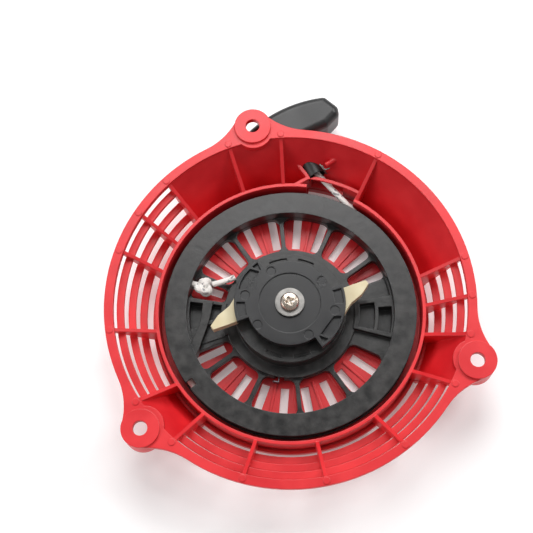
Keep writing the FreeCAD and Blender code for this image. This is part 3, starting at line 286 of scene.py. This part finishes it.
def worn_edge_group():
    """Mask of convex edges, from the angle between the true normal and a rounded one, broken up by
    noise, with the rounded normal itself."""
    name = "Worn edge"
    if name in bpy.data.node_groups:
        return bpy.data.node_groups[name]
    group = bpy.data.node_groups.new(name, "ShaderNodeTree")
    socket(group, "Mask", "NodeSocketFloat", "OUTPUT")
    socket(group, "Normal", "NodeSocketVector", "OUTPUT")
    outputs = node(group, "NodeGroupOutput")
    rounded = node(group, "ShaderNodeBevel", samples=6)
    rounded.inputs["Radius"].default_value = 0.0006
    plain = node(group, "ShaderNodeNewGeometry")
    dot = node(group, "ShaderNodeVectorMath", operation="DOT_PRODUCT")
    link(group, rounded.outputs["Normal"], dot.inputs[0])
    link(group, plain.outputs["Normal"], dot.inputs[1])
    turned = spread(group, dot.outputs["Value"], 0.995, 0.80)
    place = node(group, "ShaderNodeTexCoord").outputs["Object"]
    broken = spread(group, noise(group, place, 260.0, 5.0, 0.6), 0.42, 0.62)
    link(group, math_node(group, "MULTIPLY", turned, broken), outputs.inputs["Mask"])
    link(group, rounded.outputs["Normal"], outputs.inputs["Normal"])
    return group


def placed(tree, group):
    item = node(tree, "ShaderNodeGroup")
    item.node_tree = group
    return item


def new_material(name):
    material = bpy.data.materials.new(name)
    material.use_nodes = True
    tree = material.node_tree
    shader = [item for item in tree.nodes if item.type == "BSDF_PRINCIPLED"][0]
    return material, tree, shader


def moulded_material(name, base, deep, worn, roughness, bump, grain=2200.0, wave=90.0):
    """Moulded plastic or rubber: base and deep colours mixed by the mottle, paler worn edges, and
    grain in the normal and the roughness."""
    material, tree, shader = new_material(name)
    skin = placed(tree, moulded_skin_group())
    skin.inputs["Grain scale"].default_value = grain
    skin.inputs["Wave scale"].default_value = wave
    edge = placed(tree, worn_edge_group())
    mottle = spread(tree, skin.outputs["Mottle"], 0.32, 0.68)
    colour = mix_colour(tree, mottle, deep, base)
    colour = mix_colour(tree, math_node(tree, "MULTIPLY", edge.outputs["Mask"], 0.6), colour, worn)
    link(tree, colour, shader.inputs["Base Color"])
    link(tree, spread(tree, skin.outputs["Mottle"], 0.3, 0.7, roughness - 0.05, roughness + 0.07),
         shader.inputs["Roughness"])
    relief = node(tree, "ShaderNodeBump")
    relief.inputs["Strength"].default_value = bump
    relief.inputs["Distance"].default_value = 0.0002
    link(tree, skin.outputs["Height"], relief.inputs["Height"])
    link(tree, edge.outputs["Normal"], relief.inputs["Normal"])
    link(tree, relief.outputs["Normal"], shader.inputs["Normal"])
    return material


def metal_material(name, base, stain, roughness, brush=(1.0, 1.0, 1.0)):
    """Metal with fine lines stretched by brush, and slow staining."""
    material, tree, shader = new_material(name)
    place = node(tree, "ShaderNodeTexCoord").outputs["Object"]
    stretch = node(tree, "ShaderNodeMapping")
    stretch.inputs["Scale"].default_value = brush
    link(tree, place, stretch.inputs["Vector"])
    lines = noise(tree, stretch.outputs["Vector"], 1500.0, 3.0)
    slow = noise(tree, place, 180.0, 4.0)
    edge = placed(tree, worn_edge_group())
    link(tree, mix_colour(tree, spread(tree, slow, 0.35, 0.7), base, stain), shader.inputs["Base Color"])
    link(tree, spread(tree, lines, 0.3, 0.7, roughness - 0.07, roughness + 0.1), shader.inputs["Roughness"])
    shader.inputs["Metallic"].default_value = 1.0
    relief = node(tree, "ShaderNodeBump")
    relief.inputs["Strength"].default_value = 0.15
    relief.inputs["Distance"].default_value = 0.0001
    link(tree, lines, relief.inputs["Height"])
    link(tree, edge.outputs["Normal"], relief.inputs["Normal"])
    link(tree, relief.outputs["Normal"], shader.inputs["Normal"])
    return material


def rope_material(white, grey, dirt_and_gap_shade):
    """Braided cord: the crown attribute paints shade into the gaps between the strands, mixing towards the
    dirt colour, which noise also lays on as real soil; the tracer attribute picks the grey yarns, and fine
    fibres run over both."""
    material, tree, shader = new_material("Braided rope")
    crown = node(tree, "ShaderNodeAttribute", attribute_name="crown").outputs["Fac"]
    tracer = node(tree, "ShaderNodeAttribute", attribute_name="tracer").outputs["Fac"]
    place = node(tree, "ShaderNodeTexCoord").outputs["Object"]
    colour = mix_colour(tree, tracer, white, grey)
    # Painted shade: where the crown is low, between the strands, the colour is darkened towards the soil
    # colour.
    painted_gap_shade = spread(tree, crown, 0.05, 0.5, 0.75, 0.0)
    colour = mix_colour(tree, painted_gap_shade, colour, dirt_and_gap_shade)
    soil = spread(tree, noise(tree, place, 120.0, 4.0), 0.5, 0.75, 0.0, 0.35)
    colour = mix_colour(tree, soil, colour, dirt_and_gap_shade)
    link(tree, colour, shader.inputs["Base Color"])
    fibre = noise(tree, place, 5200.0, 3.0)
    link(tree, spread(tree, fibre, 0.3, 0.7, 0.7, 0.95), shader.inputs["Roughness"])
    shader.inputs["Sheen Weight"].default_value = 0.25
    shader.inputs["Sheen Roughness"].default_value = 0.5
    relief = node(tree, "ShaderNodeBump")
    relief.inputs["Strength"].default_value = 0.5
    relief.inputs["Distance"].default_value = 0.0002
    link(tree, fibre, relief.inputs["Height"])
    link(tree, relief.outputs["Normal"], shader.inputs["Normal"])
    return material


def give(material, *names):
    for name in names:
        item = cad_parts[name]
        item.data.materials.clear()
        item.data.materials.append(material)


def finish_piece(item, material):
    item.data.materials.append(material)


# ---------------------------------------------------------------- settings

class CaseSettings(bpy.types.PropertyGroup):
    colour: bpy.props.FloatVectorProperty(
        name="Case colour", description="Colour of the case's plastic", subtype="COLOR", size=4,
        min=0, max=1, default=(0.76, 0.022, 0.028, 1))
    deep: bpy.props.FloatVectorProperty(
        name="Case shade", description="Darker colour that the case's plastic drifts to", subtype="COLOR",
        size=4, min=0, max=1, default=(0.64, 0.014, 0.020, 1))
    worn: bpy.props.FloatVectorProperty(
        name="Case edges", description="Paler colour along the case's edges", subtype="COLOR", size=4,
        min=0, max=1, default=(0.80, 0.12, 0.11, 1))


class ReelSettings(bpy.types.PropertyGroup):
    colour: bpy.props.FloatVectorProperty(
        name="Reel colour", description="Colour of the reel's plastic", subtype="COLOR", size=4,
        min=0, max=1, default=(0.030, 0.029, 0.028, 1))
    deep: bpy.props.FloatVectorProperty(
        name="Reel shade", description="Darker colour in the reel's flow marks", subtype="COLOR", size=4,
        min=0, max=1, default=(0.005, 0.005, 0.005, 1))
    ratchet: bpy.props.FloatVectorProperty(
        name="Ratchet colour", description="Colour of the ratchets' nylon", subtype="COLOR", size=4,
        min=0, max=1, default=(0.68, 0.60, 0.40, 1))


class RopeSettings(bpy.types.PropertyGroup):
    diameter: bpy.props.FloatProperty(
        name="Rope diameter", description="Outer diameter of the braided rope", subtype="DISTANCE",
        unit="LENGTH", default=0.0035, min=0.002, max=0.006)
    white: bpy.props.FloatVectorProperty(
        name="Rope colour", description="Colour of the rope's main yarns", subtype="COLOR", size=4,
        min=0, max=1, default=(0.83, 0.80, 0.76, 1))
    grey: bpy.props.FloatVectorProperty(
        name="Tracer colour", description="Colour of the rope's two tracer yarns", subtype="COLOR", size=4,
        min=0, max=1, default=(0.30, 0.29, 0.30, 1))


class GripSettings(bpy.types.PropertyGroup):
    colour: bpy.props.FloatVectorProperty(
        name="Grip colour", description="Colour of the grip's rubber", subtype="COLOR", size=4,
        min=0, max=1, default=(0.014, 0.014, 0.015, 1))


class StageSettings(bpy.types.PropertyGroup):
    floor: bpy.props.FloatVectorProperty(
        name="Floor colour", description="Colour of the pale floor", subtype="COLOR", size=4,
        min=0, max=1, default=(0.92, 0.92, 0.92, 1))
    drop: bpy.props.FloatProperty(
        name="Floor drop", description="Gap between the starter's front face and the floor",
        subtype="DISTANCE", unit="LENGTH", default=0.0004, min=0.0, max=0.01)


SETTINGS = {"starter_case_look": CaseSettings, "starter_reel_look": ReelSettings,
            "starter_rope_look": RopeSettings, "starter_grip_look": GripSettings,
            "starter_stage_look": StageSettings}


# --------------------------------------------------------------- operators

class STARTER_OT_case(bpy.types.Operator):
    """Finish the case and its bush"""
    bl_idname = "starter.case"
    bl_label = "Finish the case"

    def execute(self, context):
        look = context.scene.starter_case_look
        give(moulded_material("Red case plastic", tuple(look.colour), tuple(look.deep), tuple(look.worn),
                              roughness=0.38, bump=0.28, grain=1800.0, wave=60.0), "starter_case")
        give(moulded_material("Black bush", (0.02, 0.02, 0.02, 1), (0.012, 0.012, 0.012, 1),
                              (0.06, 0.06, 0.06, 1), roughness=0.4, bump=0.2), "rope_guide")
        return {"FINISHED"}


class STARTER_OT_reel(bpy.types.Operator):
    """Finish the reel, the ratchets and their guide"""
    bl_idname = "starter.reel"
    bl_label = "Finish the reel"

    def execute(self, context):
        look = context.scene.starter_reel_look
        give(moulded_material("Black reel plastic", tuple(look.colour), tuple(look.deep),
                              (0.07, 0.07, 0.07, 1), roughness=0.33, bump=0.5, grain=1500.0,
                              wave=190.0), "reel")
        give(moulded_material("Black guide plastic", (0.014, 0.014, 0.015, 1), (0.006, 0.006, 0.007, 1),
                              (0.09, 0.09, 0.09, 1), roughness=0.30, bump=0.25, grain=1800.0,
                              wave=70.0), "ratchet_guide")
        cream = tuple(look.ratchet)
        give(moulded_material("Cream nylon", cream, (0.60, 0.50, 0.30, 1), (0.80, 0.74, 0.58, 1),
                              roughness=0.4, bump=0.2), "ratchet_left", "ratchet_right")
        return {"FINISHED"}


class STARTER_OT_metal(bpy.types.Operator):
    """Finish the springs, washers, screw and other metal pieces"""
    bl_idname = "starter.metal"
    bl_label = "Finish the metal pieces"

    def execute(self, context):
        steel = metal_material("Zinc-plated steel", (0.30, 0.29, 0.275, 1), (0.17, 0.165, 0.16, 1),
                               roughness=0.38, brush=(1.0, 0.15, 1.0))
        give(steel, "screw_washer", "thrust_washer", "guide_clip", "grip_reinforcement")
        give(metal_material("Yellow zinc", (0.70, 0.63, 0.55, 1), (0.45, 0.34, 0.26, 1), roughness=0.2),
             "center_screw")
        give(metal_material("Blued spring steel", (0.30, 0.31, 0.34, 1), (0.16, 0.15, 0.15, 1),
                            roughness=0.36, brush=(1.0, 1.0, 0.1)),
             "recoil_spring", "friction_spring", "ratchet_spring_left", "ratchet_spring_right")
        give(metal_material("Turned brass", (0.78, 0.56, 0.25, 1), (0.60, 0.42, 0.18, 1),
                            roughness=0.28, brush=(1.0, 1.0, 6.0)), "post_insert")
        return {"FINISHED"}


def braided_piece(name, path, reference, radius, body, replaced, material, step=0.3, columns=40):
    path, gone = even_steps(path, step)
    height, crown, tracer = braid(gone, columns, radius)
    item = grid_object(name, swept(path, reference, height), colours={"crown": crown, "tracer": tracer})
    finish_piece(item, material)
    if body:
        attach(item, body)
    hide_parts(*replaced)
    return item


def circle_points(radius, start, end, height, count=400):
    """Arc about the reel's axis, angles in degrees, height constant or one per point."""
    angle = np.radians(np.linspace(start, end, count))
    return np.stack([radius * np.cos(angle), radius * np.sin(angle), np.broadcast_to(height, angle.shape)], 1)


def lead_inner_path():
    """Top layer of rope, then a straight rising run, then a turn into the bush."""
    wound = circle_points(WIND_RADIUS, LEAVE_ANGLE - LAYER_TURN, LEAVE_ANGLE, ROPE_HEIGHT)
    leave = wound[-1]
    level = np.array([-math.sin(math.radians(LEAVE_ANGLE)), math.cos(math.radians(LEAVE_ANGLE)), 0.0])
    rising = unit(OUTLET - leave - level * 6.0)
    near = OUTLET - rising * 4.0
    ramp = hermite(leave, level * 6.0, leave + level * 7.0 + np.array([0, 0, 0.4]), rising * 6.0, 20)
    run = np.linspace(ramp[-1], near, 60)
    turn = hermite(near, rising * 8.0, OUTLET + PULL * 5.0, PULL * 8.0, 40)
    return np.concatenate([wound, ramp[1:], run[1:], turn[1:]])


def under_layers_path():
    """Four lower turns: two side by side on the drum and two over them, as one helix whose radius and
    height go from step to step in straight lines."""
    turns = np.array([0.0, 0.9, 1.1, 1.9, 2.15, 2.9, 3.1, 3.9])
    radii = np.array([63.0, 63.0, 63.0, 63.0, 65.2, 65.2, 65.3, 65.3])
    heights = np.array([8.5, 8.5, 12.2, 12.2, 13.7, 13.7, 10.1, 10.1])
    t = np.linspace(0, turns[-1], 1500)
    radius = np.interp(t, turns, radii)
    angle = 2 * np.pi * t + math.radians(KNOT_ANGLE)
    return np.stack([radius * np.cos(angle), radius * np.sin(angle), np.interp(t, turns, heights)], 1)


def knot_path(centre, size, axis_turn, tilt=0.0, count=420):
    """Closed overhand (trefoil) path: (sin t + 2 sin 2t, cos t - 2 cos 2t, -sin 3t), flattened a little,
    tilted about x and then turned about z."""
    t = np.linspace(0, 2 * np.pi, count, endpoint=False)
    curve = np.stack([np.sin(t) + 2 * np.sin(2 * t), np.cos(t) - 2 * np.cos(2 * t),
                      -1.25 * np.sin(3 * t)], 1) * size
    turn = np.array([[math.cos(axis_turn), -math.sin(axis_turn), 0],
                     [math.sin(axis_turn), math.cos(axis_turn), 0], [0, 0, 1]])
    lean = np.array([[1, 0, 0], [0, math.cos(tilt), -math.sin(tilt)], [0, math.sin(tilt), math.cos(tilt)]])
    return curve @ lean.T @ turn.T + centre


def knot_piece(name, centre, size, radius, body, replaced, material, axis_turn=0.0, tilt=0.0):
    path = knot_path(centre, size, axis_turn, tilt)
    length = np.concatenate([[0.0], np.cumsum(np.linalg.norm(np.diff(path, axis=0), axis=1))])
    total = length[-1] + np.linalg.norm(path[0] - path[-1])
    lay = total / max(1, round(total / BRAID_LAY))
    height, crown, tracer = braid(length, 36, radius, lay=lay)
    outward = unit(path - centre + np.array([0.0, 0.0, 1e-3]))
    item = grid_object(name, swept(path, outward, height, closed=True), wrap_along=True,
                       colours={"crown": crown, "tracer": tracer})
    finish_piece(item, material)
    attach(item, body)
    if replaced:
        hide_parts(*replaced)
    return item


class STARTER_OT_rope(bpy.types.Operator):
    """Make the rope on the reel, its run to the grip, and its two knots"""
    bl_idname = "starter.rope"
    bl_label = "Make the rope"

    def execute(self, context):
        look = context.scene.starter_rope_look
        radius = look.diameter / MM / 2
        # The last colour is the real soil's colour and also the painted shade in the braid's gaps.
        material = rope_material(tuple(look.white), tuple(look.grey), (0.42, 0.36, 0.34, 1))
        up = np.array([0.0, 0.0, 1.0])
        braided_piece("rope_top_layer", lead_inner_path(), up, radius, "housing", ["rope_lead_inner"],
                      material)
        braided_piece("rope_under_layers", under_layers_path(), up, radius, "reel", ["rope_coil"],
                      material, step=1.2, columns=16)
        start = OUTLET + PULL * LEAD_START
        end = OUTLET + PULL * (GRIP_REACH - LEAD_END_DEPTH)
        outer = braided_piece("rope_to_grip", np.linspace(start, end, 200), up, radius, None,
                              ["rope_lead_outer"], material)
        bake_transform(outer)
        outward = unit(np.array([KNOT_PLACE[0], KNOT_PLACE[1], 0.0]))
        knot_piece("rope_knot_on_reel", KNOT_PLACE, 1.32, radius * 1.12, "reel", ["reel_knot"], material,
                   0.5, 0.3)
        knot_piece("rope_knot_cross_turn", KNOT_PLACE, 1.12, radius * 1.12, "reel", [], material, 1.6, 1.45)
        knot_piece("rope_knot_inner_turn", KNOT_PLACE, 0.7, radius * 1.12, "reel", [], material, 2.4, 0.8)
        tail = hermite(KNOT_PLACE + np.array([5.0, 1.0, 1.6]), np.array([8.0, 0.5, 0.5]), TAIL_END,
                       np.array([7.0, 3.6, 0.3]))
        braided_piece("rope_knot_tail", tail, up, radius * 0.95, "reel", [], material)
        run = np.linspace(KNOT_PLACE + outward * 3.0, KNOT_PLACE + outward * 11.5, 40)
        braided_piece("rope_through_drum", run, up, radius, "reel", [], material)
        centre = OUTLET + PULL * (GRIP_REACH - GRIP_KNOT_DEPTH)
        knot_piece("rope_knot_in_grip", centre, 0.95, radius * 0.8, "grip", ["grip_knot"], material)
        return {"FINISHED"}


class STARTER_OT_grip(bpy.types.Operator):
    """Finish the pull grip"""
    bl_idname = "starter.grip"
    bl_label = "Finish the grip"

    def execute(self, context):
        look = context.scene.starter_grip_look
        give(moulded_material("Black grip rubber", tuple(look.colour), (0.007, 0.007, 0.007, 1),
                              (0.05, 0.05, 0.05, 1), roughness=0.40, bump=0.45, grain=1200.0,
                              wave=50.0), "pull_grip")
        return {"FINISHED"}


def area_light(name, place, size, power):
    """A round light at a place, turned so that it faces the origin."""
    data = bpy.data.lights.new(name, "AREA")
    data.shape = "DISK"
    data.size = size
    data.energy = power
    item = bpy.data.objects.new(name, data)
    bpy.context.scene.collection.objects.link(item)
    item.location = place
    direction = -np.array(place)
    item.rotation_euler = (math.acos(-direction[2] / np.linalg.norm(direction)), 0.0,
                           math.atan2(-direction[0], direction[1]))


class STARTER_OT_stage(bpy.types.Operator):
    """Make the floor, the lights and the camera"""
    bl_idname = "starter.stage"
    bl_label = "Make the stage"

    def execute(self, context):
        look = context.scene.starter_stage_look
        size = FLOOR_HALF_SIZE
        corners = np.array([[[-size, -size, 0], [-size, size, 0]], [[size, -size, 0], [size, size, 0]]])
        corners[..., 2] = -look.drop / MM
        floor = grid_object("floor", corners, wrap_around=False, caps=False)
        floor.data.flip_normals()
        material, tree, shader = new_material("Pale floor")
        place = node(tree, "ShaderNodeTexCoord").outputs["Object"]
        tone = noise(tree, place, 3.0, 2.0)
        pale = tuple(look.floor)
        link(tree, mix_colour(tree, tone, pale, (pale[0] * 0.985, pale[1] * 0.985, pale[2] * 0.985, 1)),
             shader.inputs["Base Color"])
        shader.inputs["Roughness"].default_value = 0.9
        shader.inputs["Emission Color"].default_value = (1, 1, 1, 1)
        shader.inputs["Emission Strength"].default_value = 0.12
        floor.data.materials.append(material)
        area_light("overhead", (0.0, 0.98, 1.25), size=1.1, power=17.0)
        area_light("left_fill", (-1.1, -0.2, 0.8), size=0.9, power=5.5)
        area_light("right_key", (0.9, 0.5, 0.9), size=0.5, power=6.5)
        world = bpy.data.worlds.new("Soft studio")
        world.use_nodes = True
        background = world.node_tree.nodes["Background"]
        background.inputs["Color"].default_value = (1, 1, 1, 1)
        background.inputs["Strength"].default_value = 0.36
        context.scene.world = world
        context.scene.view_settings.view_transform = "Standard"
        data = bpy.data.cameras.new("view")
        data.lens = CAMERA_LENS
        data.sensor_width = SENSOR_WIDTH
        data.clip_start = 0.01
        data.clip_end = 20.0
        camera = bpy.data.objects.new("view", data)
        camera.location = CAMERA_PLACE
        camera.rotation_euler = tuple(math.radians(angle) for angle in CAMERA_TURN)
        context.scene.collection.objects.link(camera)
        context.scene.camera = camera
        return {"FINISHED"}


class STARTER_PT_panel(bpy.types.Panel):
    """Lists the steps that make the starter"""
    bl_label = "Recoil starter"
    bl_idname = "STARTER_PT_panel"
    bl_space_type = "VIEW_3D"
    bl_region_type = "UI"
    bl_category = "Starter"

    def draw(self, context):
        for step in STEPS:
            self.layout.operator(step.bl_idname)


STEPS = (STARTER_OT_case, STARTER_OT_reel, STARTER_OT_metal, STARTER_OT_rope, STARTER_OT_grip,
         STARTER_OT_stage)


def register():
    for name, settings in SETTINGS.items():
        bpy.utils.register_class(settings)
        setattr(bpy.types.Scene, name, bpy.props.PointerProperty(type=settings))
    for item in STEPS + (STARTER_PT_panel,):
        bpy.utils.register_class(item)


def unregister():
    for item in reversed(STEPS + (STARTER_PT_panel,)):
        bpy.utils.unregister_class(item)
    for name, settings in SETTINGS.items():
        delattr(bpy.types.Scene, name)
        bpy.utils.unregister_class(settings)


def main():
    register()
    bpy.ops.starter.case()
    bpy.ops.starter.reel()
    bpy.ops.starter.metal()
    bpy.ops.starter.rope()
    bpy.ops.starter.grip()
    bpy.ops.starter.stage()


if __name__ == "__main__":
    main()
